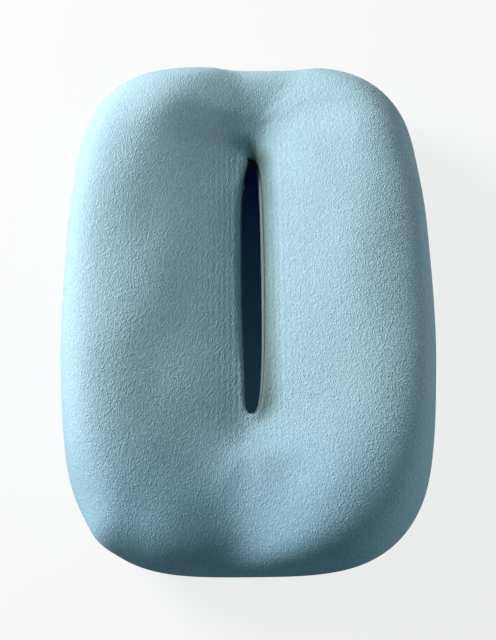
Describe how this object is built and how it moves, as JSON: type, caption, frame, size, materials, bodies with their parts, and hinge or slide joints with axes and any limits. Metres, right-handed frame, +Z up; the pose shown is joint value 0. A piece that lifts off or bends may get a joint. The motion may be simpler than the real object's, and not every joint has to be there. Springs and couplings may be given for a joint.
{
  "type": "face cradle cushion",
  "caption": "Padded rounded-rectangle cushion with a long breathing slot, in a plush zipped cover, for resting a face down on a massage table's face cradle.",
  "frame": {"origin": "on the rest plane, under the middle of the cushion's outline", "axes": "+Z up out of the face side, +Y towards the forehead end, +X to the right seen from the chin end"},
  "size_m": [0.3, 0.438, 0.1015],
  "materials": {
    "plush": "light blue brushed plush knit with a soft pile",
    "lining": "darker blue-grey stretch knit inside the slot",
    "base": "plain blue-grey knit with a fine rib",
    "thread": "spun polyester sewing thread",
    "liner": "thin off-white stretch knit",
    "foam": "cream open-cell viscoelastic foam",
    "tape": "woven zip tape",
    "coil": "nylon coil, semi-gloss",
    "nickel": "nickel-plated zinc",
    "loop": "napped loop tape",
    "label": "blank white satin label"
  },
  "bodies": {
    "cushion": {"foam_core": "foam", "inner_liner": "liner", "cover_top_panel": "plush", "cover_base_panel": "base", "perimeter_seam_cord": "thread", "slot_lip_binding": "lining", "slot_seam_thread": "thread", "slot_lining": "lining", "base_slot_binding": "thread", "loop_strip_left": "loop", "loop_strip_right": "loop", "loop_stitch_left": "thread", "loop_stitch_right": "thread", "care_label": "label", "zip_tape_inner": "tape", "zip_tape_outer": "tape", "zip_coil_inner": "coil", "zip_coil_outer": "coil", "zip_top_stop_inner": "nickel", "zip_top_stop_outer": "nickel", "zip_bottom_stop": "nickel", "zip_stitch_inner": "thread", "zip_stitch_outer": "thread"},
    "slider": {"zip_slider": "nickel"},
    "pull": {"zip_pull": "nickel"}
  },
  "joints": [
    {"name": "slider_slide", "type": "slide", "parent": "cushion", "child": "slider", "axis": [0, -1, 0], "range_m": [0, 0.252]},
    {"name": "pull_swing", "type": "hinge", "parent": "slider", "child": "pull", "pos_m": [0.076, 0.126, 0.003], "axis": [1, 0, 0], "range_deg": [0, 140]}
  ]
}
